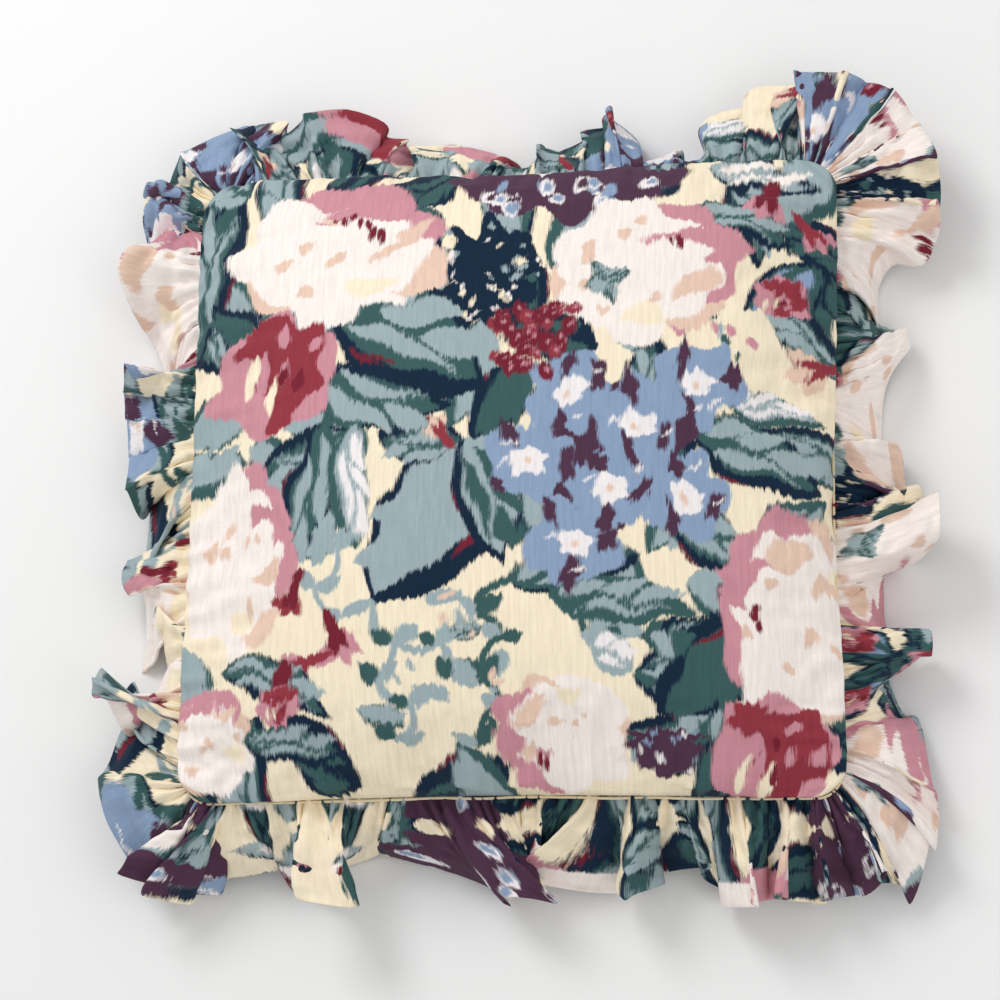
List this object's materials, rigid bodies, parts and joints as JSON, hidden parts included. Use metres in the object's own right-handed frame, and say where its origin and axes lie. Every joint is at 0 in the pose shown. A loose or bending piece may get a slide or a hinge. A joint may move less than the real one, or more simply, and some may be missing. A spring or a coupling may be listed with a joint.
{
  "type": "throw pillow",
  "caption": "Square throw pillow in floral print cotton with a gathered ruffle all round, a zip in the back and a stuffed insert.",
  "frame": {"origin": "on the floor below the middle of the pillow, which lies on its back", "axes": "+Z out of the front panel; +Y towards the top edge; the edge with the zip faces -Y; +X to the right of someone who faces the front panel"},
  "size_m": [0.566, 0.566, 0.135],
  "materials": {
    "printed_cotton": "woven cotton with a glazed floral warp print",
    "plain_cotton": "plain woven cotton",
    "insert_casing": "plain white cotton",
    "fibre_fill": "loose polyester fibre",
    "zip_tape": "herringbone polyester tape",
    "zip_coil": "moulded nylon monofilament",
    "zip_metal": "lacquered, lightly rubbed"
  },
  "bodies": {
    "pillow": {"front_panel": "printed_cotton", "back_panel": "printed_cotton", "back_strip": "printed_cotton", "ruffle_bottom": "printed_cotton", "ruffle_right": "printed_cotton", "ruffle_top": "printed_cotton", "ruffle_left": "printed_cotton", "seam_edging": "plain_cotton", "insert_casing_front": "insert_casing", "insert_casing_back": "insert_casing", "insert_fill": "fibre_fill", "zip_tape_upper": "zip_tape", "zip_tape_lower": "zip_tape", "zip_coil_upper": "zip_coil", "zip_coil_lower": "zip_coil", "zip_top_stops": "zip_metal", "zip_bottom_stop": "zip_metal"},
    "slider": {"zip_slider": "zip_metal"},
    "pull": {"zip_pull": "zip_metal"}
  },
  "joints": [
    {"name": "zip_slide", "type": "slide", "parent": "pillow", "child": "slider", "axis": [-1, 0, 0], "range_m": [0, 0.331]},
    {"name": "pull_swing", "type": "hinge", "parent": "slider", "child": "pull", "pos_m": [0.1655, -0.20893, 0.04433], "axis": [0, -0.7167, 0.6974], "range_deg": [-80, 80]}
  ]
}
